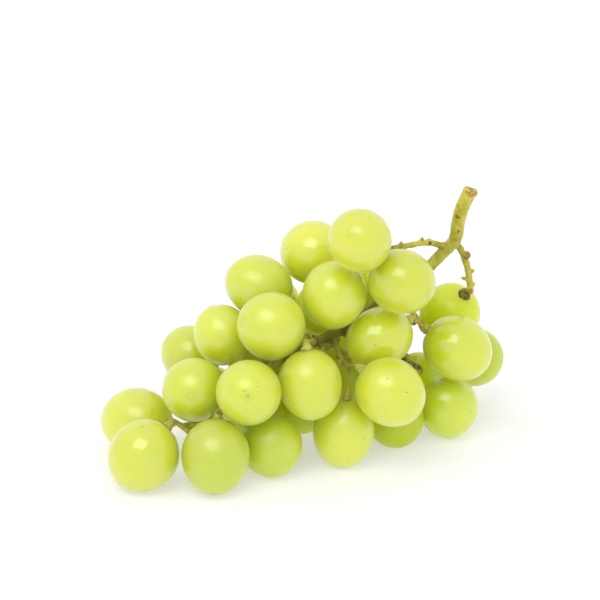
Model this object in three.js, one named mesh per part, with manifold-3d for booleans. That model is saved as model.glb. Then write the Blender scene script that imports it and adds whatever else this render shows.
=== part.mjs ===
// A bunch of large green table grapes, cut from the vine and lying on its side.
// One branching stalk carries every berry on its own pedicel: the thick peduncle rises free at the
// upper right, and the bunch narrows from its two shoulders down to the tip at the lower left.
// Millimetres, +Z up, the bunch lying along X on the plane Z = 0.
import * as THREE from "three";
import { mergeVertices } from "three/addons/utils/BufferGeometryUtils.js";
import Module from "manifold-3d";

// Driving dimensions
const BERRY_DIAMETER = 23;
const BERRY_GAP = 0.3;
const DIMPLE_DEPTH = 0.9;
const REST_FLATTENING = 0.25; // how far a resting berry's skin gives where it touches the table
const PEDICEL_RADIUS = 0.75;
const RECEPTACLE_RADIUS = 1.8; // the swollen end that holds the berry
const RECEPTACLE_LENGTH = 2.4;
const PEDUNCLE_RADIUS = 2.5;
const FORK_RADIUS = 2.3; // the peduncle's radius where it forks
const AXIS_RADIUS = 2.2;
const AXIS_TIP_RADIUS = 1.25;
const TWIG_RADIUS = 1.2;
const TWIG_TIP_RADIUS = 0.8;
const DEAD_TWIG_RADIUS = 1.9;

// Mesh fineness
const BERRY_SIDES = 12;
const BERRY_LATITUDES = [-60, -32, 0, 32, 56, 76];
const PEDICEL_SIDES = 5;
const PEDICEL_STEP = 2.8;
const BRANCH_STEP = 4;

const SKIN = new THREE.MeshStandardMaterial({ color: 0xc8d64a, roughness: 0.35, metalness: 0 });
const BARK = new THREE.MeshStandardMaterial({ color: 0xb3a23c, roughness: 0.7, metalness: 0 });

const UP = new THREE.Vector3(0, 0, 1);
const vector = (point) => new THREE.Vector3(...point);

// ---- The stalk's branches: a route of points, and the radius along it ----

const branch = (points, startRadius = TWIG_RADIUS, endRadius = TWIG_TIP_RADIUS, sides = 6) => {
  const curve = new THREE.CatmullRomCurve3(points.map(vector), false, "centripetal");
  return { curve, startRadius, endRadius, sides, length: curve.getLength() };
};
const radiusAt = (b, share) => THREE.MathUtils.lerp(b.startRadius, b.endRadius, share);

const branches = {
  // the peduncle, from its cut end down to the fork under the two shoulders
  peduncle: branch(
    [[60.5, 26, 92], [58, 26.5, 86.5], [56.3, 27, 80], [55.4, 28, 72.5], [52.5, 27.5, 69.5]],
    PEDUNCLE_RADIUS, FORK_RADIUS, 10,
  ),
  // the main axis, from the fork down through the middle of the bunch to its tip
  axis: branch(
    [
      [55, 28, 72], [46, 26, 63], [37.5, 25, 55], [29, 24.5, 49.5], [20.5, 23.5, 44], [12, 21, 38.8],
      [3.5, 17.5, 37], [-4.5, 13, 34.5], [-13.5, 7, 29], [-23, 2, 22.5], [-31, -2, 16.5], [-40, -7, 13],
    ],
    AXIS_RADIUS, AXIS_TIP_RADIUS, 8,
  ),
  left_shoulder: branch(
    [[52, 27.5, 70], [46, 25, 72.8], [39, 20, 73.4], [32.5, 17, 73.3], [25.5, 16, 72], [18, 17, 69]],
  ),
  right_shoulder: branch(
    [[55, 28, 72], [56.6, 28.5, 70.5], [58.5, 30, 66.5], [60, 31, 62.5], [61, 31.5, 58], [61.8, 31, 51.5]],
    TWIG_RADIUS, TWIG_RADIUS,
  ),
  right_side: branch([[37.5, 25, 55], [38.6, 26, 49.5], [41.5, 27, 44], [45.5, 28.5, 39.5], [49.5, 30, 34]]),
  // a dead side twig, dry and thicker towards its broken end
  low_stub: branch(
    [[29, 24, 48], [29.5, 29, 39], [32.5, 31, 31], [37, 28, 26.5], [42, 23, 24.8]],
    TWIG_RADIUS, DEAD_TWIG_RADIUS,
  ),
  front_high: branch([[4, 17, 37.5], [4.6, 12.5, 39.5], [4.2, 8, 41.5]], 1.4, 1.4),
  front_low: branch([[12, 20, 38.5], [13.5, 15.5, 35], [15, 12, 33], [17, 8, 31.5]]),
  back_low: branch([[-5, 12.5, 34], [-7, 20, 31], [-6, 27, 29]]),
  back_high: branch([[14, 20, 41], [9, 26, 36], [11, 32, 31]]),
};

// ---- The berries: centre, diameter and length, the way the stem end points, and the branch it hangs on ----

const berry = (at, wide, long, stem, on, share) => ({
  home: vector(at),
  at: vector(at),
  wide,
  long,
  stem: vector(stem).normalize(),
  on,
  share,
});
const W = BERRY_DIAMETER;

const groups = {
  tip_berry: [
    berry([-58.4, 7, 11.9], W + 0.7, W + 3.4, [1, -0.45, 0.1], "axis", 0.995),
    berry([-54, -25, 12.2], W + 1.3, W + 2.9, [0.62, 0.45, 0.62], "axis", 0.985),
    berry([-28.5, -26.5, 13], W + 0.5, W + 3.6, [0.05, 0.6, 0.8], "axis", 0.93),
  ],
  front_berry: [
    berry([-10.5, -13.5, 11.3], W - 0.8, W - 0.2, [-0.1, 0.75, 0.7], "axis", 0.8),
    berry([-37, -8, 29.5], W - 0.6, W, [0.05, 1, -0.2], "axis", 0.87),
    berry([-17, -20, 33], W - 0.4, W, [0, 1, -0.3], "axis", 0.74),
    berry([2, -12, 34], W - 0.8, W + 2, [-0.1, 0.25, 1], "front_high", 0.8),
    berry([15, -4, 12.3], W - 1.2, W + 2.2, [0.1, 0.15, 1], "front_low", 1),
    berry([30.5, -10, 28.5], W + 0.4, W + 2.6, [-0.8, 0.45, 0.5], "front_low", 1),
    berry([28, 10, 42], W - 1.4, W + 2.2, [0.85, 0.4, 0.4], "right_side", 0.35),
    berry([34.5, 12.5, 10.5], W - 2, W - 1, [-0.2, 0.6, 0.8], "low_stub", 0.6),
    berry([53.5, 21, 11.3], W - 1.2, W - 0.2, [0.1, 0.55, 0.85], "right_side", 1),
    berry([56.5, 18, 35], W, W + 2.6, [-0.85, 0.3, 0.45], "right_side", 0.5),
  ],
  upper_berry: [
    berry([-39.5, 22, 31], W - 2, W - 1, [0.7, -0.5, -0.45], "axis", 0.79),
    berry([-27.5, 9, 43.5], W - 2.4, W - 1, [0.35, -0.2, -0.9], "axis", 0.72),
    berry([-9.5, -4, 51], W + 0.8, W + 0.8, [0.85, 0.4, -0.3], "front_high", 0.9),
    berry([-14.5, 18, 58.5], W - 1, W + 1.8, [0.9, -0.1, -0.45], "axis", 0.58),
    berry([4.6, 30, 67.2], W, W + 1.2, [0.8, -0.55, 0.2], "left_shoulder", 0.97),
    berry([20.5, 0, 82], W - 1, W - 0.4, [0.25, 0.8, -0.55], "left_shoulder", 0.82),
    berry([12, 8, 59], W - 0.4, W + 1.6, [0.3, 0.5, 0.85], "left_shoulder", 1),
    berry([35.5, 5, 65], W - 0.2, W + 1.4, [-0.75, 0.6, 0.15], "left_shoulder", 0.75),
  ],
  shoulder_berry: [
    berry([55, 42, 39.3], W - 1, W + 1, [0.42, -0.44, 0.8], "right_shoulder", 1),
    berry([63.5, 50, 18.5], W - 0.8, W + 0.4, [-0.75, -0.5, 0.4], "right_side", 1),
    berry([45, 45, 11.5], W - 1, W, [-0.45, -0.2, 0.9], "low_stub", 0.5),
  ],
  inner_berry: [
    berry([7.5, 36, 42.6], W - 1.6, W - 0.6, [0.25, -0.95, -0.2], "axis", 0.52),
    berry([27.5, 41, 50], W - 1.6, W - 0.6, [-0.1, -1, -0.15], "axis", 0.38),
    berry([4, 10, 25], W - 2, W - 1, [0.3, 0.6, 0.75], "axis", 0.53),
    berry([19.5, 34, 14.5], W - 1.6, W - 0.6, [-0.2, -0.15, 0.95], "back_high", 1),
    berry([0, 24, 10.8], W - 1.6, W - 0.8, [-0.2, 0, 1], "back_low", 1),
    berry([-16, 9, 11], W - 1.4, W - 0.4, [0.15, -0.1, 1], "axis", 0.73),
  ],
  back_berry: [
    berry([-34, 33, 11.5], W - 0.6, W + 1, [0.75, -0.6, 0.4], "axis", 0.78),
    berry([-17, 27, 34], W - 1.6, W, [0.5, -0.85, -0.2], "axis", 0.66),
    berry([-12, 41, 17], W - 1, W + 0.8, [0.3, -0.75, 0.55], "back_low", 1),
    berry([8, 52, 22], W - 1, W + 0.4, [0.1, -0.9, 0.4], "back_high", 1),
    berry([31, 50, 27.5], W - 1.2, W, [-0.1, -0.85, 0.4], "low_stub", 0.3),
    berry([-8, 43, 41.5], W - 1.4, W + 0.2, [0.5, -0.8, -0.1], "axis", 0.57),
  ],
};
const resting = new Set([
  "tip_berry_1", "tip_berry_2", "tip_berry_3", "front_berry_1", "front_berry_5", "front_berry_8",
  "front_berry_9", "shoulder_berry_3", "inner_berry_5", "inner_berry_6", "back_berry_1",
]);

const berries = Object.entries(groups).flatMap(([group, members]) =>
  members.map((member, i) => ({ ...member, name: `${group}_${i + 1}` })),
);

// How far a berry reaches from its centre to a plane across the given direction.
const reach = (b, direction) => {
  const along = b.stem.dot(direction) ** 2;
  return Math.sqrt(along * (b.long / 2) ** 2 + (1 - along) * (b.wide / 2) ** 2);
};

// Swelling berries press on each other: pairs are pushed apart until they only touch, berries are pushed
// off the branches, and those that lie on the table stay on it.
const SETTLE_ROUNDS = 400;
const HOMING = 0.04; // pull of each berry towards the place given for it, until the last rounds
const HOMING_ROUNDS = 250;
const TABLE_CLEARANCE = 0.5; // kept under the berries that hang
const BEAD_SPACING = 2; // a branch pushes as a row of beads

const branchBeads = Object.values(branches).flatMap((b) => {
  const beads = Math.ceil(b.length / BEAD_SPACING);
  return Array.from({ length: beads + 1 }, (_, i) => ({
    at: b.curve.getPointAt(i / beads),
    radius: radiusAt(b, i / beads),
  }));
});

function settle() {
  for (let round = 0; round < SETTLE_ROUNDS; round++) {
    berries.forEach((a, i) => {
      for (const b of berries.slice(i + 1)) {
        const away = b.at.clone().sub(a.at);
        const apart = away.length();
        away.normalize();
        const short = reach(a, away) + reach(b, away) + BERRY_GAP - apart;
        if (short > 0) {
          a.at.addScaledVector(away, -short / 2);
          b.at.addScaledVector(away, short / 2);
        }
      }
    });
    for (const b of berries) {
      for (const bead of branchBeads) {
        const away = b.at.clone().sub(bead.at);
        const apart = away.length();
        away.normalize();
        const short = reach(b, away) + bead.radius + BERRY_GAP - apart;
        if (short > 0) b.at.addScaledVector(away, short);
      }
      if (round < HOMING_ROUNDS) b.at.lerp(b.home, HOMING);
      const height = reach(b, UP);
      b.at.z = resting.has(b.name) ? height : Math.max(b.at.z, height + TABLE_CLEARANCE);
    }
  }
}
settle();

// ---- Solids ----

const wasm = await Module();
wasm.setup();

const MERGE = 1e-3;
function solidOf(geometry) {
  const bare = geometry.index ? geometry.toNonIndexed() : geometry.clone();
  bare.deleteAttribute("normal");
  bare.deleteAttribute("uv");
  const merged = mergeVertices(bare, MERGE);
  return new wasm.Manifold(
    new wasm.Mesh({
      numProp: 3,
      vertProperties: merged.attributes.position.array,
      triVerts: new Uint32Array(merged.index.array),
    }),
  );
}

function geometryOf(solid) {
  const mesh = solid.getMesh();
  const geometry = new THREE.BufferGeometry();
  geometry.setAttribute("position", new THREE.BufferAttribute(mesh.vertProperties, 3));
  geometry.setIndex(new THREE.BufferAttribute(mesh.triVerts, 1));
  geometry.computeVertexNormals();
  return geometry;
}

// A turned profile bent along a curve. Each profile point is [radius, share of the curve's length].
function bentLathe(profile, curve, sides) {
  const outline = [[0, profile[0][1]], ...profile, [0, profile.at(-1)[1]]];
  const geometry = new THREE.LatheGeometry(outline.map(([r], i) => new THREE.Vector2(r, i)), sides);
  const frames = curve.computeFrenetFrames(outline.length - 1);
  const centres = outline.map(([, share]) => curve.getPointAt(share));
  const position = geometry.attributes.position;
  const point = new THREE.Vector3();
  for (let i = 0; i < position.count; i++) {
    const ring = Math.round(position.getY(i));
    point
      .copy(centres[ring])
      .addScaledVector(frames.normals[ring], position.getX(i))
      .addScaledVector(frames.binormals[ring], position.getZ(i));
    position.setXYZ(i, point.x, point.y, point.z);
  }
  return geometry;
}

// Turned profiles come out facing in or out by the way their curve runs, so the volume's sign decides.
function tube(profile, curve, sides) {
  const geometry = bentLathe(profile, curve, sides);
  const solid = solidOf(geometry);
  if (solid.volume() > 0) return solid;
  const index = geometry.index.array;
  for (let i = 0; i < index.length; i += 3) [index[i + 1], index[i + 2]] = [index[i + 2], index[i + 1]];
  return solidOf(geometry);
}

// ---- The stalk ----

function branchSolid(b) {
  const steps = Math.ceil(b.length / BRANCH_STEP);
  const profile = Array.from({ length: steps + 1 }, (_, i) => [radiusAt(b, i / steps), i / steps]);
  return tube(profile, b.curve, b.sides);
}

// A pedicel leaves the berry's stem end, bends past the berries in its way, and joins its branch.
const ROUTE_POINTS = 12;
const ROUTE_ROUNDS = 200;
const ROUTE_CLEARANCE = 0.6;
const ROUTE_SMOOTHING = 0.5;
// The receptacle's outline from the berry outwards: its radius and height as shares of the full ones.
const RECEPTACLE_OUTLINE = [[0.8, 0], [1, 0.3], [0.75, 0.65]];

function pedicelRoute(owner) {
  const b = branches[owner.on];
  const joint = b.curve.getPointAt(owner.share);
  const seat = owner.at.clone().addScaledVector(owner.stem, owner.long / 2 + BERRY_GAP);
  const neck = seat.clone().addScaledVector(owner.stem, RECEPTACLE_LENGTH);
  const bend = Array.from({ length: ROUTE_POINTS }, (_, i) =>
    neck.clone().lerp(joint, (i + 1) / (ROUTE_POINTS + 1)),
  );
  const route = [seat, neck, ...bend, joint];
  for (let round = 0; round < ROUTE_ROUNDS; round++) {
    for (let i = 2; i < route.length - 1; i++) {
      const middle = route[i - 1].clone().add(route[i + 1]).multiplyScalar(0.5);
      route[i].lerp(middle, ROUTE_SMOOTHING);
      for (const other of berries) {
        const away = route[i].clone().sub(other.at);
        const apart = away.length();
        away.normalize();
        const short = reach(other, away) + PEDICEL_RADIUS + ROUTE_CLEARANCE - apart;
        if (short > 0) route[i].addScaledVector(away, short);
      }
    }
  }
  return route;
}

function pedicelSolid(owner) {
  const curve = new THREE.CatmullRomCurve3(pedicelRoute(owner), false, "centripetal");
  const length = curve.getLength();
  const cup = RECEPTACLE_LENGTH / length;
  const steps = Math.max(3, Math.ceil((length - RECEPTACLE_LENGTH) / PEDICEL_STEP));
  const shaft = Array.from({ length: steps }, (_, i) => [
    PEDICEL_RADIUS,
    THREE.MathUtils.lerp(cup, 1, (i + 1) / steps),
  ]);
  const receptacle = RECEPTACLE_OUTLINE.map(([r, h]) => [RECEPTACLE_RADIUS * r, cup * h]);
  return tube([...receptacle, [PEDICEL_RADIUS, cup], ...shaft], curve, PEDICEL_SIDES);
}

// Short stubs where a berry or a side twig has dropped off: the branch and the share of its length where
// one stands, the way it points, its length, and its radius at the foot and at the end.
const stub = (on, share, direction, length, radius, end = radius) => ({
  on,
  share,
  direction: vector(direction).normalize(),
  length,
  radius,
  end,
});
const stubs = [
  stub("left_shoulder", 0.2, [0.1, -0.8, -0.1], 1.9, 0.8),
  stub("left_shoulder", 0.28, [0.1, -0.3, 1], 2.1, 0.7),
  stub("left_shoulder", 0.52, [0.2, -0.4, 1], 2.0, 0.6),
  stub("left_shoulder", 0.48, [0, -0.9, -0.7], 2.0, 0.8),
  stub("right_shoulder", 0.36, [0.3, -1, 0.3], 2.0, 1.2),
  stub("right_shoulder", 0.64, [1, -0.3, 0.2], 2.1, 0.7),
  stub("right_shoulder", 0.8, [-1, -0.3, 0.5], 3.6, 0.6),
  stub("right_shoulder", 0.86, [1, -0.3, 0.1], 1.8, 0.7),
  stub("low_stub", 0.96, [1, -0.75, -0.35], 3.2, DEAD_TWIG_RADIUS, 2.4),
  stub("front_low", 0.75, [-0.45, -0.8, 0.15], 3.6, 0.9, 1.4),
];

const STUB_NECK = 0.55; // shares of a stub's length where its neck ends and where it is at full radius
const STUB_FLARE = 0.8;
const STUB_CHAMFER = 0.85;

function stubSolid(s) {
  const foot = branches[s.on].curve.getPointAt(s.share);
  const end = foot.clone().addScaledVector(s.direction, s.length);
  const profile = [[s.radius, 0], [s.radius, STUB_NECK], [s.end, STUB_FLARE], [s.end * STUB_CHAMFER, 1]];
  return tube(profile, new THREE.LineCurve3(foot, end), PEDICEL_SIDES);
}

const stalkSolid = [
  ...Object.values(branches).map(branchSolid),
  ...berries.map(pedicelSolid),
  ...stubs.map(stubSolid),
].reduce((whole, piece) => whole.add(piece));

// ---- The berries' own solids ----

// Turned about +Y with the stem end up: an ellipsoid with a shallow dimple where the pedicel seats.
function berryProfile(b) {
  const rings = BERRY_LATITUDES.map((degrees) => {
    const latitude = THREE.MathUtils.degToRad(degrees);
    return new THREE.Vector2((b.wide / 2) * Math.cos(latitude), (b.long / 2) * Math.sin(latitude));
  });
  return [new THREE.Vector2(0, -b.long / 2), ...rings, new THREE.Vector2(0, b.long / 2 - DIMPLE_DEPTH)];
}

const TABLE = 400;
const table = solidOf(new THREE.BoxGeometry(TABLE, TABLE, TABLE).translate(0, 0, -TABLE / 2));

function berryGeometry(b) {
  const geometry = new THREE.LatheGeometry(berryProfile(b), BERRY_SIDES);
  const turn = new THREE.Quaternion().setFromUnitVectors(new THREE.Vector3(0, 1, 0), b.stem);
  geometry.applyQuaternion(turn).translate(b.at.x, b.at.y, b.at.z);
  if (!resting.has(b.name)) return geometry;
  geometry.computeBoundingBox();
  geometry.translate(0, 0, -REST_FLATTENING - geometry.boundingBox.min.z);
  return geometryOf(solidOf(geometry).subtract(table));
}

// ---- The bunch, with its origin under the middle of its footprint ----

const bunch = new THREE.Group();
for (const b of berries) {
  const mesh = new THREE.Mesh(berryGeometry(b), SKIN);
  mesh.name = b.name;
  bunch.add(mesh);
}
const stalk = new THREE.Mesh(geometryOf(stalkSolid), BARK);
stalk.name = "stalk";
bunch.add(stalk);

const box = new THREE.Box3().setFromObject(bunch);
const middle = box.getCenter(new THREE.Vector3());
bunch.position.set(-middle.x, -middle.y, -box.min.z);

const part = new THREE.Group();
part.add(bunch);

export default part;
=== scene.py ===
import math
import random

import bmesh
import bpy
import numpy as np
from mathutils import Matrix, Vector, kdtree, noise


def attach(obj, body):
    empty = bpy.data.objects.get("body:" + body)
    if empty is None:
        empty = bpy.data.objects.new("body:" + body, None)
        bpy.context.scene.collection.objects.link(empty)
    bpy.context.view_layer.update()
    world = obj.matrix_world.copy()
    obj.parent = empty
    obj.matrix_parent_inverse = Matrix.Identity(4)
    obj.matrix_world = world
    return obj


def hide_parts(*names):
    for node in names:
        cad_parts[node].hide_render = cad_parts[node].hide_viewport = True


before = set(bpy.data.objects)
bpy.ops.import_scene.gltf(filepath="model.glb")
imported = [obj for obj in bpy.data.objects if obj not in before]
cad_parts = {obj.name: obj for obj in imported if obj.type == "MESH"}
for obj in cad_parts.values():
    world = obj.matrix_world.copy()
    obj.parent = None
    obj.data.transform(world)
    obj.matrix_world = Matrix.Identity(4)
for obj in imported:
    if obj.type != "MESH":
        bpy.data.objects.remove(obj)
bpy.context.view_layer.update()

# ---- The berries ----
# Plump green table grapes with a thin, taut, faintly bloomed skin over translucent flesh. Each is a
# little longer than wide, dimpled where its pedicel enters, and has a dry style scar at the far end.

MM = 0.001
MERGE_REACH = 0.002 * MM  # corners of a CAD mesh nearer than this are one corner
FIT_UNIT = 10 * MM  # the ellipsoid is fitted in this unit, to keep its terms near one
PATCH_HEIGHT = 0.01 * MM  # corners below this lie on a berry's flat resting patch
SEAT_REACH = 0.1 * MM
BERRY_MERIDIANS = 72
BERRY_PARALLELS = 52
CAD_DIMPLE = 0.9 * MM
DIMPLE_DEPTH = 0.75 * MM
DIMPLE_WIDTH = 0.24  # share of the berry's radius
SHOULDER_SWELL = 0.012  # the stem half is a touch fuller than the tip half
SWELL_PEAK = 2.6  # one over the peak of z - z ** 3, which carries the swell
LUMP_HEIGHT = 0.13 * MM
BROAD_LUMPS = 1.3
FINE_LUMPS = 3.7
FINE_SHARE = 0.3
LUMP_DRIFT = Vector((90, 50, 70))  # moves each berry's lumps to a place of their own
SCAR_WIDTH = 0.075
SCAR_HEIGHT = 0.16 * MM
TABLE_SKIN = 0.02 * MM  # a resting berry's skin ends just above the table

# How each berry looks: ripeness from 0, green, to 1, golden; bloom, the wax that pales the skin; gloss,
# how sharply the wax mirrors a lamp; and how light its flesh is painted, partly its own tone and partly
# painted light and shade, set to how bright each berry looks where it sits. The hidden ones take chance
# values.
LOOKS = {
    "tip_berry_1": (0.85, 1.0, 0.4, 0.8), "tip_berry_2": (0.75, 1.0, 0.7, 0.76),
    "tip_berry_3": (0.3, 1.0, 0.3, 0.7), "front_berry_1": (0.15, 0.8, 0.3, 0.75),
    "front_berry_2": (0.3, 0.9, 0.3, 0.8), "front_berry_3": (0.45, 1.0, 0.3, 0.8),
    "front_berry_4": (0.6, 0.9, 0.3, 0.8), "front_berry_5": (0.55, 1.0, 0.4, 0.84),
    "front_berry_6": (0.6, 1.0, 0.4, 0.8), "front_berry_7": (0.45, 0.9, 1.0, 0.9),
    "front_berry_8": (0.1, 0.1, 0.4, 0.7), "front_berry_9": (0.25, 0.9, 0.4, 0.82),
    "front_berry_10": (0.6, 1.0, 0.8, 0.8), "upper_berry_1": (0.6, 1.0, 0.4, 0.75),
    "upper_berry_2": (0.5, 1.0, 0.4, 0.86), "upper_berry_3": (0.5, 1.0, 0.3, 0.8),
    "upper_berry_4": (0.5, 1.0, 0.2, 0.8), "upper_berry_5": (0.8, 1.0, 0.6, 0.86),
    "upper_berry_6": (0.95, 1.0, 0.5, 0.75), "upper_berry_7": (0.45, 1.0, 0.4, 0.85),
    "upper_berry_8": (0.6, 0.9, 0.5, 0.75), "shoulder_berry_1": (0.1, 0.3, 0.4, 0.92),
    "shoulder_berry_2": (0.1, 0.4, 0.4, 0.7), "shoulder_berry_3": (0.0, 0.2, 0.4, 0.92),
    "inner_berry_1": (0.0, 0.0, 0.4, 0.96), "inner_berry_5": (0.2, 0.0, 0.4, 0.75),
}
CHANCE_LOOKS = ((0.1, 0.6), (0.2, 0.9), (0.2, 0.6), (0.75, 0.9))


def merged_mesh(node):
    """A bmesh copy of a CAD node with its loose triangles joined."""
    bm = bmesh.new()
    bm.from_mesh(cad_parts[node].data)
    bmesh.ops.remove_doubles(bm, verts=bm.verts, dist=MERGE_REACH)
    return bm


def fitted_middle(corners, centroid):
    """The middle of the ellipsoid that passes nearest the corners."""
    p = (np.array(corners) - np.array(centroid)) / FIT_UNIT
    x, y, z = p.T
    terms = np.column_stack([x * x, y * y, z * z, 2 * x * y, 2 * x * z, 2 * y * z, x, y, z])
    a, b, c, d, e, f, *linear = np.linalg.lstsq(terms, np.ones(len(p)), rcond=None)[0]
    quadric = np.array([[a, d, e], [d, b, f], [e, f, c]])
    return centroid + Vector(-0.5 * np.linalg.solve(quadric, linear)) * FIT_UNIT


def berry_frame(node):
    """Middle, stem direction, half width and half length of a CAD berry, from its own corners."""
    bm = merged_mesh(node)
    centroid = sum((v.co for v in bm.verts), Vector()) / len(bm.verts)

    def bulge(v):
        ring = [e.other_vert(v).co for e in v.link_edges]
        around = sum(ring, Vector()) / len(ring)
        return (v.co - around).dot((around - centroid).normalized())

    seat = min(bm.verts, key=bulge).co.copy()
    corners = [v.co for v in bm.verts if v.co.z > PATCH_HEIGHT and (v.co - seat).length > SEAT_REACH]
    middle = fitted_middle(corners, centroid)
    stem = (seat - middle).normalized()
    half_width = max((v - middle - stem * (v - middle).dot(stem)).length for v in corners)
    half_length = (seat - middle).length + CAD_DIMPLE
    bm.free()
    return middle, stem, half_width, half_length


def skin_relief(on_ball, drift):
    """How far the skin stands out from the plain ellipsoid: lumps, dimple and style scar."""
    from_axis = math.hypot(on_ball.x, on_ball.y)
    relief = noise.noise(on_ball * BROAD_LUMPS + drift) * LUMP_HEIGHT
    relief += noise.noise(on_ball * FINE_LUMPS - drift) * LUMP_HEIGHT * FINE_SHARE
    if on_ball.z > 0:
        relief -= DIMPLE_DEPTH * math.exp(-((from_axis / DIMPLE_WIDTH) ** 2))
    elif from_axis < SCAR_WIDTH * 2:
        ring = (from_axis - SCAR_WIDTH * 0.7) / (SCAR_WIDTH * 0.45)
        relief += SCAR_HEIGHT * math.exp(-(ring ** 2))
    return relief


def grow_berry(name, middle, stem, half_width, half_length):
    """The berry's skin: a fine ball drawn out along its stem line, then dimpled, scarred and uneven."""
    dice = random.Random(name)
    seed = dice.random()
    drift = seed * LUMP_DRIFT
    bm = bmesh.new()
    bmesh.ops.create_uvsphere(bm, u_segments=BERRY_MERIDIANS, v_segments=BERRY_PARALLELS, radius=1)
    place = bm.verts.layers.float_vector.new("skin_place")
    for v in bm.verts:
        on_ball = v.co.copy()
        v[place] = on_ball
        swell = 1 + SHOULDER_SWELL * SWELL_PEAK * on_ball.z * (1 - on_ball.z ** 2)
        v.co.x *= half_width * swell
        v.co.y *= half_width * swell
        v.co.z *= half_length
        v.co += on_ball * skin_relief(on_ball, drift)
    turn = stem.to_track_quat("Z", "Y").to_matrix().to_4x4()
    spin = Matrix.Rotation(dice.uniform(0, math.tau), 4, "Z")
    bmesh.ops.transform(bm, matrix=Matrix.Translation(middle) @ turn @ spin, verts=bm.verts)
    for v in bm.verts:
        v.co.z = max(v.co.z, TABLE_SKIN)
    mesh = bpy.data.meshes.new(name)
    bm.to_mesh(mesh)
    bm.free()
    by_chance = [dice.uniform(low, high) for low, high in CHANCE_LOOKS]
    traits = zip(("ripeness", "bloom", "gloss", "tone_and_painted_light"), LOOKS.get(name, by_chance))
    for attribute, value in (*traits, ("seed", seed)):
        layer = mesh.attributes.new(attribute, "FLOAT", "POINT")
        layer.data.foreach_set("value", np.full(len(mesh.vertices), value, np.float32))
    mesh.polygons.foreach_set("use_smooth", np.ones(len(mesh.polygons), bool))
    return mesh


def put(tree, kind, inputs=None, **settings):
    """A shader node with its settings, and its inputs either linked or set."""
    made = tree.nodes.new(kind)
    for key, value in settings.items():
        setattr(made, key, value)
    for key, value in (inputs or {}).items():
        if isinstance(value, bpy.types.NodeSocket):
            tree.links.new(value, made.inputs[key])
        else:
            made.inputs[key].default_value = value
    return made


def blend_colours(tree, share, first, second):
    """The colour between first and second at that share."""
    made = tree.nodes.new("ShaderNodeMix")
    made.data_type = "RGBA"
    for index, value in ((0, share), (6, first), (7, second)):
        if isinstance(value, bpy.types.NodeSocket):
            tree.links.new(value, made.inputs[index])
        else:
            made.inputs[index].default_value = value if index == 0 else (*value, 1)
    return made.outputs[2]


def between(tree, value, low, high, to_low=0.0, to_high=1.0):
    """value from low to high, eased, as to_low to to_high."""
    ends = {"Value": value, "From Min": low, "From Max": high, "To Min": to_low, "To Max": to_high}
    return put(tree, "ShaderNodeMapRange", ends, interpolation_type="SMOOTHSTEP").outputs["Result"]


def combine(tree, operation, first, second=0.0):
    """One operation of arithmetic on two values, such as their product."""
    return put(tree, "ShaderNodeMath", {0: first, 1: second}, operation=operation).outputs[0]


def trait(tree, name):
    """A value that the mesh carries at each of its corners."""
    return put(tree, "ShaderNodeAttribute", attribute_name=name).outputs["Fac"]


def mottle(tree, place, scale, detail, **more):
    """Cloudy noise at a place."""
    inputs = {"Vector": place, "Scale": scale, "Detail": detail, **more}
    return put(tree, "ShaderNodeTexNoise", inputs).outputs["Fac"]


def rare_dots(tree, place, scale, channel, rarity, rim, strength):
    """One dot in some of the cells of a cell pattern: rarity picks the cells, and rim fades the dot out."""
    cells = put(tree, "ShaderNodeTexVoronoi", {"Vector": place, "Scale": scale})
    chance = put(tree, "ShaderNodeSeparateXYZ", {0: cells.outputs["Color"]}).outputs[channel]
    dots = between(tree, cells.outputs["Distance"], *rim, strength, 0.0)
    return combine(tree, "MULTIPLY", dots, between(tree, chance, *rarity))


def new_material(name):
    material = bpy.data.materials.new(name)
    material.use_nodes = True
    return material, material.node_tree, material.node_tree.nodes["Principled BSDF"]


GREEN_FLESH = (0.73, 0.88, 0.008)
GOLDEN_FLESH = (0.9, 0.94, 0.05)
PALE_VEIN = (0.94, 0.97, 0.14)
BLOOM = (0.88, 0.95, 0.5)
STEM_END = (0.9, 0.94, 0.1)
TIP_GREEN = (0.6, 0.72, 0.004)
SCAR_BROWN = (0.4, 0.36, 0.05)
SPECK_BROWN = (0.13, 0.1, 0.015)
# pale centre of some style scars, and the colour of the painted glints
PALE_SCAR_AND_GLINT = (0.93, 0.95, 0.75)


def flesh_colour(tree, drifted, bloom_patches, waxed):
    """Green to golden by ripeness with broad cloudy changes, paled by the wax."""
    clouds = mottle(tree, drifted, 1.1, 3.0)
    ripe_here = combine(tree, "ADD", trait(tree, "ripeness"), between(tree, clouds, 0.3, 0.7, -0.15, 0.15))
    colour = blend_colours(tree, ripe_here, GREEN_FLESH, GOLDEN_FLESH)
    colour = blend_colours(tree, combine(tree, "MULTIPLY", waxed, 0.08), colour, BLOOM)

    # pale veins run from the stem end to the tip under the skin
    stretched = put(tree, "ShaderNodeVectorMath", {0: drifted, 1: (1.0, 1.0, 0.22)}, operation="MULTIPLY")
    veins = mottle(tree, stretched.outputs[0], 5.5, 3.0, Distortion=0.5)
    off_vein = combine(tree, "ABSOLUTE", combine(tree, "SUBTRACT", veins, 0.5))
    colour = blend_colours(tree, between(tree, off_vein, 0.0, 0.06, 0.14, 0.0), colour, PALE_VEIN)

    # the wax also dulls the skin in patches
    patches = combine(tree, "MULTIPLY", between(tree, bloom_patches, 0.42, 0.72), waxed)
    colour = blend_colours(tree, combine(tree, "MULTIPLY", patches, 0.12), colour, BLOOM)
    return colour, veins


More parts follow.
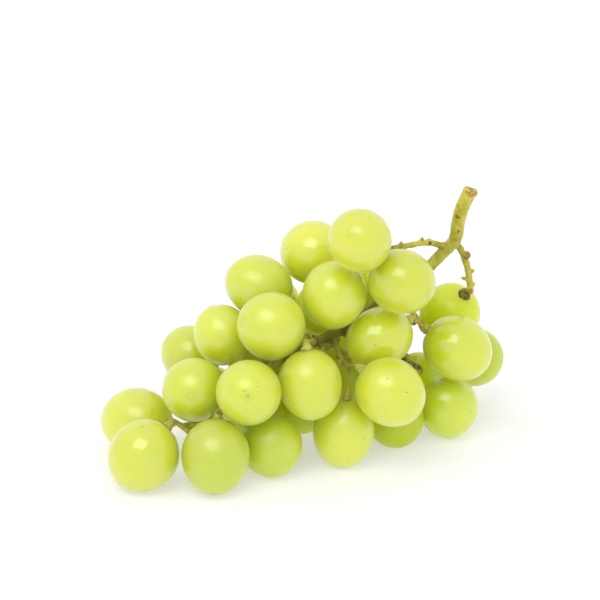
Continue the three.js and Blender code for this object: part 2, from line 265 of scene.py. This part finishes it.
def end_colours(tree, colour, place, veins, seed):
    """The paler stem end, and the green tip with the dry scar of the style."""
    parts = put(tree, "ShaderNodeSeparateXYZ", {0: place}).outputs
    across = put(tree, "ShaderNodeCombineXYZ", {0: parts[0], 1: parts[1]}).outputs[0]
    from_axis = put(tree, "ShaderNodeVectorMath", {0: across}, operation="LENGTH").outputs["Value"]
    stem_half = between(tree, parts[2], 0.0, 0.3)
    at_stem = combine(tree, "MULTIPLY", between(tree, from_axis, 0.15, 0.5, 0.6, 0.0), stem_half)
    colour = blend_colours(tree, at_stem, colour, STEM_END)
    at_tip = between(tree, parts[2], -0.3, -0.9)
    ragged = combine(tree, "ADD", from_axis, between(tree, veins, 0.3, 0.7, -0.03, 0.03))
    halo = combine(tree, "MULTIPLY", between(tree, ragged, 0.05, 0.3, 0.4, 0.0), at_tip)
    scar = combine(tree, "MULTIPLY", between(tree, ragged, 0.02, 0.05, 0.45, 0.0), at_tip)
    colour = blend_colours(tree, halo, colour, TIP_GREEN)
    scar_colour = blend_colours(tree, between(tree, seed, 0.55, 0.6), PALE_SCAR_AND_GLINT, SCAR_BROWN)
    return blend_colours(tree, scar, colour, scar_colour), scar


def skin_material():
    material, tree, shader = new_material("grape_skin")
    place = put(tree, "ShaderNodeAttribute", attribute_name="skin_place").outputs["Vector"]
    seed = trait(tree, "seed")
    waxed = trait(tree, "bloom")
    stride = combine(tree, "MULTIPLY", seed, 60.0)
    drifted = put(tree, "ShaderNodeVectorMath", {0: place, 1: stride}, operation="ADD").outputs[0]
    bloom_patches = mottle(tree, drifted, 2.3, 6.0, Roughness=0.62)
    colour, veins = flesh_colour(tree, drifted, bloom_patches, waxed)
    colour, scar = end_colours(tree, colour, place, veins, seed)
    specks = rare_dots(tree, drifted, 5.0, 0, (0.88, 0.9), (0.07, 0.12), 0.9)
    colour = blend_colours(tree, specks, colour, SPECK_BROWN)
    # painted glints: rare pale dots stand in for small sparkles of light on the skin
    painted_glints = rare_dots(tree, drifted, 9.0, 1, (0.95, 0.97), (0.1, 0.24), 0.8)
    colour = blend_colours(tree, painted_glints, colour, PALE_SCAR_AND_GLINT)
    # painted light and shade: each berry's flesh colour is scaled by its tone, which also raises or lowers
    # it for how brightly that berry is lit where it sits
    colour_with_painted_light = put(
        tree, "ShaderNodeVectorMath", {0: colour, "Scale": trait(tree, "tone_and_painted_light")}, operation="SCALE"
    ).outputs[0]
    tree.links.new(colour_with_painted_light, shader.inputs["Base Color"])

    # the skin is dull where the bloom is thick, and the scar is rough
    dull = between(tree, bloom_patches, 0.35, 0.75, 0.4, 0.52)
    dull = combine(tree, "ADD", dull, combine(tree, "MULTIPLY", scar, 0.4))
    tree.links.new(dull, shader.inputs["Roughness"])
    grain = combine(tree, "MULTIPLY", mottle(tree, drifted, 38.0, 3.0), 0.25)
    relief = combine(tree, "SUBTRACT", grain, combine(tree, "ADD", specks, scar))
    bump = put(tree, "ShaderNodeBump", {"Height": relief, "Strength": 0.12, "Distance": 0.25 * MM})
    tree.links.new(bump.outputs["Normal"], shader.inputs["Normal"])

    # the flesh lets light far in, and the wax over it shines
    shader.inputs["Subsurface Weight"].default_value = 1.0
    shader.inputs["Subsurface Radius"].default_value = (1.0, 1.0, 0.3)
    shader.inputs["Subsurface Scale"].default_value = 22 * MM
    shader.inputs["Subsurface Anisotropy"].default_value = 0.5
    shader.inputs["Transmission Weight"].default_value = 0.12
    shader.inputs["IOR"].default_value = 1.4
    shader.inputs["Specular IOR Level"].default_value = 0.6
    tree.links.new(between(tree, waxed, 0.0, 1.0, 0.2, 0.95), shader.inputs["Coat Weight"])
    coat_roughness = between(tree, trait(tree, "gloss"), 0.0, 1.0, 0.34, 0.06)
    tree.links.new(coat_roughness, shader.inputs["Coat Roughness"])
    shader.inputs["Coat IOR"].default_value = 1.75
    tree.links.new(combine(tree, "MULTIPLY", waxed, 0.15), shader.inputs["Sheen Weight"])
    shader.inputs["Sheen Roughness"].default_value = 0.35
    shader.inputs["Sheen Tint"].default_value = (0.9, 1.0, 0.7, 1)
    return material


def add_piece(name, mesh, material, node):
    piece = bpy.data.objects.new(name, mesh)
    bpy.context.scene.collection.objects.link(piece)
    mesh.materials.clear()
    mesh.materials.append(material)
    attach(piece, "root")
    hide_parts(node)


skin = skin_material()
berries = {node: berry_frame(node) for node in sorted(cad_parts) if "berry" in node}
for node, form in berries.items():
    add_piece("grape_" + node, grow_berry(node, *form), skin, node)

# ---- The stalk ----
# One green, half-woody branching stem: a thick peduncle with a dry cut end, a forking axis, and a warty
# swollen receptacle at the end of every pedicel. Its dead twig, scars and dropped stubs are brown and dry.
# Painted shade darkens it where it runs deep among the berries and inside the open cup.

STALK_VOXEL = 0.31 * MM
STALK_SMOOTHING = 2
BARK_SWELL = 0.12 * MM
BROAD_BARK = (520, 0.14 * MM)  # how close the bark's bumps stand, and their height
FINE_BARK = (1500, 0.1 * MM)
WARTY_BARK = 0.35 * MM  # what the fine bumps gain at a receptacle
WARTY_REACH = 5 * MM
COLLAR_RADIUS = 1.6 * MM
COLLAR_HEIGHT = 0.9 * MM
WART_RADIUS = 0.42 * MM
WARTS = 22
WART_RINGS = 2
OPEN_COLLAR = "shoulder_berry_1"  # its receptacle stands clear and cup-shaped, darkened with painted shade and dry brown
OPEN_COLLAR_RADIUS = 2.25 * MM
PALE_REACH = 3.4  # in mm, round every other receptacle
OPEN_REACHES = {"painted_shade": 7.0, "dry": 4.4}
MARK_EDGE = 1.3  # a mark is full strength until this much of its reach is left

# Swellings and broken ends besides those of the plain branches: place in mm, radius in mm, flatness
KNOBS = [
    ((51.6, 15.2, 71.4), 1.8, 1.0), ((48.8, 14.2, 71.0), 1.6, 0.8), ((57.3, 16.6, 66.6), 1.5, 1.0),
    ((43.6, 12.4, 73.0), 1.3, 1.0), ((57.9, 13.9, 91.0), 2.75, 0.5),
    ((9.6, 9.9, 37.2), 2.5, 1.0), ((14.6, 9.6, 39.9), 2.2, 1.0), ((2.0, 6.4, 38.0), 2.0, 1.0),
    ((12.2, 6.4, 31.4), 1.5, 1.0), ((34.6, 12.6, 27.4), 1.9, 0.9), ((37.4, 11.6, 25.8), 2.4, 0.9),
    ((39.6, 10.4, 24.8), 2.6, 0.7), ((59.1, 18.2, 52.6), 1.3, 1.0), ((38.2, 6.8, 44.9), 1.5, 1.0),
    ((-43.0, -9.8, 11.0), 1.7, 1.0), ((-40.6, -9.4, 12.4), 1.6, 1.0),
]

# Where the bark differs, and where painted shade darkens it: kind, place in mm, reach in mm
BARK_MARKS = [
    ("dry", (58.1, 13.8, 93.4), 2.8), ("dry", (55.9, 11.6, 91.9), 0.9), ("dry", (52.8, 12.6, 82.5), 1.2),
    ("dry", (54.0, 12.0, 82.1), 0.8), ("dry", (53.8, 12.6, 76.7), 0.8), ("dry", (53.0, 12.8, 73.3), 0.9),
    ("dry", (50.3, 12.8, 72.7), 0.9), ("dry", (44.0, 10.8, 73.2), 1.3), ("dry", (41.4, 9.8, 75.4), 1.4),
    ("dry", (33.2, 6.0, 75.4), 1.4), ("dry", (34.4, 5.6, 72.6), 1.5), ("dry", (60.4, 17.2, 60.1), 1.6),
    ("dry", (55.2, 16.8, 58.8), 1.8), ("dry", (34.6, 12.6, 27.4), 4.0), ("dry", (39.0, 10.6, 24.6), 5.0),
    ("dry", (31.6, 16.0, 30.0), 4.0), ("dry", (57.2, 18.6, 51.6), 2.6), ("dry", (38.5, 5.6, 44.6), 1.3),
    ("dry", (-43.4, -11.4, 9.8), 1.6), ("dry", (-38.5, -9.0, 12.6), 1.6), ("red", (58.9, 11.8, 91.0), 2.6),
    ("red", (57.5, 15.0, 66.5), 2.4), ("red", (59.1, 17.0, 52.2), 2.4), ("red", (37.4, 5.4, 47.0), 2.2),
    ("red", (60.3, 14.6, 88.0), 1.8), ("painted_shade", (35, 12.8, 54), 6), ("painted_shade", (30, 12.6, 51), 6),
    ("painted_shade", (24, 12.0, 48), 6), ("painted_shade", (18, 11.3, 44), 6), ("painted_shade", (13, 10.0, 41), 6),
    ("painted_shade", (8, 8.0, 38.4), 5.5), ("painted_shade", (2, 5.6, 37), 5), ("painted_shade", (12.2, 7.0, 33), 4),
    ("painted_shade", (-6, 1.0, 34), 6), ("pale", (16.0, 6.8, 26.3), 3.0), ("pale", (14.8, 5.0, 22.0), 3.4),
    ("pale", (40, 6.4, 40.3), 3.0),
]


def dab(bm, place, radius, flat=1.0, along=Vector((0, 0, 1)), fineness=2):
    """A small ball of growth at a place, flattened along a direction."""
    turn = along.to_track_quat("Z", "Y").to_matrix().to_4x4()
    size = Matrix.Diagonal((radius, radius, radius * flat, 1))
    matrix = Matrix.Translation(place) @ turn @ size
    bmesh.ops.create_icosphere(bm, subdivisions=fineness, radius=1, matrix=matrix)


def add_cup(bm, seat, stem):
    """The open receptacle: three flattened dabs, each a little narrower than the last."""
    for share in (0.4, 1.0, 1.6):
        radius = OPEN_COLLAR_RADIUS * (1.1 - 0.12 * share)
        dab(bm, seat + stem * COLLAR_HEIGHT * share, radius, 0.4, stem, 3)


def add_receptacle(bm, name, seat, stem):
    """A swollen collar against the berry with rings of warts round it."""
    dice = random.Random("receptacle " + name)
    dab(bm, seat + stem * COLLAR_HEIGHT, COLLAR_RADIUS, COLLAR_HEIGHT / COLLAR_RADIUS, stem, 3)
    turn = stem.to_track_quat("Z", "Y").to_matrix()
    for i in range(WARTS):
        angle = math.tau * (i + dice.uniform(-0.3, 0.3)) * WART_RINGS / WARTS
        ring = i * WART_RINGS // WARTS
        out = COLLAR_RADIUS * dice.uniform(0.95, 1.12) * (1 - 0.4 * ring)
        up = COLLAR_HEIGHT * (0.9 + 1.1 * ring) + dice.uniform(-0.2, 0.2) * MM
        at = seat + turn @ Vector((math.cos(angle) * out, math.sin(angle) * out, up))
        dab(bm, at, WART_RADIUS * dice.uniform(0.7, 1.2), fineness=1)


def remeshed(bm, name):
    """Everything in the bmesh as one closed skin."""
    mesh = bpy.data.meshes.new(name)
    bm.to_mesh(mesh)
    bm.free()
    rough = bpy.data.objects.new(name, mesh)
    bpy.context.scene.collection.objects.link(rough)
    modifier = rough.modifiers.new("one skin", "REMESH")
    modifier.mode = "VOXEL"
    modifier.voxel_size = STALK_VOXEL
    bpy.context.view_layer.update()
    finished = rough.evaluated_get(bpy.context.evaluated_depsgraph_get())
    whole = bpy.data.meshes.new_from_object(finished)
    bpy.data.objects.remove(rough)
    return whole


def roughen(mesh, seats):
    """Smooths the skin's steps, then swells it and raises bumps, most of all at the receptacles."""
    bm = bmesh.new()
    bm.from_mesh(mesh)
    every_way = {"use_axis_x": True, "use_axis_y": True, "use_axis_z": True}
    for _ in range(STALK_SMOOTHING):
        bmesh.ops.smooth_vert(bm, verts=bm.verts, factor=0.5, **every_way)
    bm.normal_update()
    receptacles = kdtree.KDTree(len(seats))
    for i, seat in enumerate(seats):
        receptacles.insert(seat, i)
    receptacles.balance()
    for v in bm.verts:
        nearness = max(0, 1 - receptacles.find(v.co)[2] / WARTY_REACH)
        relief = noise.noise(v.co * BROAD_BARK[0]) * BROAD_BARK[1]
        relief += noise.noise(v.co * FINE_BARK[0]) * (FINE_BARK[1] + WARTY_BARK * nearness)
        v.co += v.normal * (BARK_SWELL + relief)
    bm.to_mesh(mesh)
    bm.free()


def mark_bark(mesh, seats):
    """Gives the mesh one attribute for each kind of mark, from 0 outside it to 1 at its middle."""
    corners = np.empty(len(mesh.vertices) * 3)
    mesh.vertices.foreach_get("co", corners)
    corners = corners.reshape(-1, 3)
    marks = list(BARK_MARKS)
    marks += [("pale", seat / MM, PALE_REACH) for node, seat in seats.items() if node != OPEN_COLLAR]
    marks += [(kind, seats[OPEN_COLLAR] / MM, reach) for kind, reach in OPEN_REACHES.items()]
    for kind in ("dry", "red", "painted_shade", "pale"):
        amount = np.zeros(len(corners))
        for place, reach in [(mark[1], mark[2]) for mark in marks if mark[0] == kind]:
            nearness = 1 - np.linalg.norm(corners - np.array(place) * MM, axis=1) / (reach * MM)
            amount = np.maximum(amount, np.clip(nearness * MARK_EDGE, 0, 1))
        layer = mesh.attributes.new(kind, "FLOAT", "POINT")
        layer.data.foreach_set("value", amount.astype(np.float32))


def stalk_mesh():
    bm = merged_mesh("stalk")
    seats = {}
    for node, (middle, stem, _, half_length) in berries.items():
        seats[node] = middle + stem * (half_length - DIMPLE_DEPTH)
        if node == OPEN_COLLAR:
            add_cup(bm, seats[node], stem)
        else:
            add_receptacle(bm, node, seats[node], stem)
    for place, radius, flat in KNOBS:
        dab(bm, Vector(place) * MM, radius * MM, flat)
    whole = remeshed(bm, "green stalk")
    roughen(whole, seats.values())
    mark_bark(whole, seats)
    whole.polygons.foreach_set("use_smooth", np.ones(len(whole.polygons), bool))
    return whole


BARK_OLIVE = (0.38, 0.36, 0.02)
BARK_STRAW = (0.64, 0.55, 0.07)
BARK_PAINTED_SHADE = (0.15, 0.145, 0.012)
BARK_DRY = (0.1, 0.06, 0.022)
BARK_RED = (0.33, 0.1, 0.035)
BARK_PALE = (0.74, 0.73, 0.26)


def stalk_material():
    material, tree, shader = new_material("stalk_bark")
    place = put(tree, "ShaderNodeTexCoord").outputs["Object"]
    dry, red, painted_shade, pale = (trait(tree, kind) for kind in ("dry", "red", "painted_shade", "pale"))
    tint = mottle(tree, place, 110.0, 5.0)
    streaks = mottle(tree, place, 420.0, 5.0, Roughness=0.65)
    broad = combine(tree, "MULTIPLY", tint, 0.65)
    grain = combine(tree, "ADD", broad, combine(tree, "MULTIPLY", streaks, 0.35))
    colour = blend_colours(tree, between(tree, grain, 0.38, 0.6), BARK_OLIVE, BARK_STRAW)
    # painted shade: dark olive where the axis runs deep among the berries and in the open cup
    colour = blend_colours(tree, combine(tree, "MULTIPLY", painted_shade, 0.85), colour, BARK_PAINTED_SHADE)
    pale_here = combine(tree, "MULTIPLY", pale, between(tree, streaks, 0.35, 0.6, 0.35, 1.0))
    colour = blend_colours(tree, pale_here, colour, BARK_PALE)

    # reddish nodes and brown scars have ragged edges, and small lenticels dot the rest
    blotches = mottle(tree, place, 650.0, 4.0, Roughness=0.7)
    ragged = between(tree, blotches, 0.3, 0.7, -0.45, 0.45)
    red_here = between(tree, combine(tree, "ADD", red, ragged), 0.2, 1.0, 0.0, 0.75)
    colour = blend_colours(tree, red_here, colour, BARK_RED)
    dry_here = between(tree, combine(tree, "ADD", dry, ragged), 0.2, 0.9, 0.0, 0.9)
    colour = blend_colours(tree, dry_here, colour, BARK_DRY)
    lenticels = rare_dots(tree, place, 330.0, 0, (0.8, 0.84), (0.1, 0.2), 0.75)
    colour = blend_colours(tree, lenticels, colour, BARK_DRY)
    tree.links.new(colour, shader.inputs["Base Color"])
    tree.links.new(between(tree, dry_here, 0.0, 1.0, 0.42, 0.75), shader.inputs["Roughness"])
    height = combine(tree, "SUBTRACT", streaks, lenticels)
    bump = put(tree, "ShaderNodeBump", {"Height": height, "Strength": 0.55, "Distance": 0.35 * MM})
    tree.links.new(bump.outputs["Normal"], shader.inputs["Normal"])
    shader.inputs["Sheen Weight"].default_value = 0.25
    shader.inputs["Sheen Roughness"].default_value = 0.4
    shader.inputs["Sheen Tint"].default_value = (1.0, 0.9, 0.6, 1)
    shader.inputs["Subsurface Weight"].default_value = 0.4
    shader.inputs["Subsurface Radius"].default_value = (1.0, 0.8, 0.3)
    shader.inputs["Subsurface Scale"].default_value = 0.8 * MM
    return material


add_piece("green_stalk", stalk_mesh(), stalk_material(), "stalk")

# ---- The studio ----
# A white sweep that is lit a little from itself, a white room, one soft box above and in front to the
# left, and a long lens that looks down at the bunch.

FLOOR_SIZE = 12.0
FLOOR_WHITE = (0.62, 0.62, 0.62, 1)
FLOOR_GLOW = 0.43
ROOM_LIGHT = 0.92
BUNCH_MIDDLE = Vector((-2.4, -12.2, 60)) * MM
SOFTBOX_PLACE = Vector((-0.18, -0.42, 0.68))
SOFTBOX_SIZE = (0.56, 0.4)
SOFTBOX_POWER = 1.55
CAMERA_DISTANCE = 0.8
CAMERA_ELEVATION = math.radians(20)
LENS_MM = 138
SENSOR_MM = 36

floor_bm = bmesh.new()
bmesh.ops.create_grid(floor_bm, x_segments=1, y_segments=1, size=FLOOR_SIZE / 2)
floor_mesh = bpy.data.meshes.new("sweep")
floor_bm.to_mesh(floor_mesh)
floor_bm.free()
floor = bpy.data.objects.new("sweep", floor_mesh)
bpy.context.scene.collection.objects.link(floor)
floor_material, _, floor_shader = new_material("white_sweep")
floor_shader.inputs["Base Color"].default_value = FLOOR_WHITE
floor_shader.inputs["Roughness"].default_value = 0.9
floor_shader.inputs["Specular IOR Level"].default_value = 0.1
floor_shader.inputs["Emission Color"].default_value = (1, 1, 1, 1)
floor_shader.inputs["Emission Strength"].default_value = FLOOR_GLOW
floor_mesh.materials.append(floor_material)

world = bpy.data.worlds.new("white room")
world.use_nodes = True
world.node_tree.nodes["Background"].inputs["Color"].default_value = (1, 1, 1, 1)
world.node_tree.nodes["Background"].inputs["Strength"].default_value = ROOM_LIGHT
bpy.context.scene.world = world

light = bpy.data.lights.new("softbox", "AREA")
light.shape = "RECTANGLE"
light.size, light.size_y = SOFTBOX_SIZE
light.energy = SOFTBOX_POWER
softbox = bpy.data.objects.new("softbox", light)
softbox.location = SOFTBOX_PLACE
softbox.rotation_euler = (BUNCH_MIDDLE - SOFTBOX_PLACE).to_track_quat("-Z", "Y").to_euler()
softbox.visible_camera = False
bpy.context.scene.collection.objects.link(softbox)

camera_data = bpy.data.cameras.new("camera")
camera_data.lens = LENS_MM
camera_data.sensor_width = SENSOR_MM
camera = bpy.data.objects.new("camera", camera_data)
looking = Vector((0, math.cos(CAMERA_ELEVATION), -math.sin(CAMERA_ELEVATION)))
camera.location = BUNCH_MIDDLE - looking * CAMERA_DISTANCE
camera.rotation_euler = looking.to_track_quat("-Z", "Y").to_euler()
bpy.context.scene.collection.objects.link(camera)
bpy.context.scene.camera = camera
bpy.context.scene.view_settings.view_transform = "Standard"
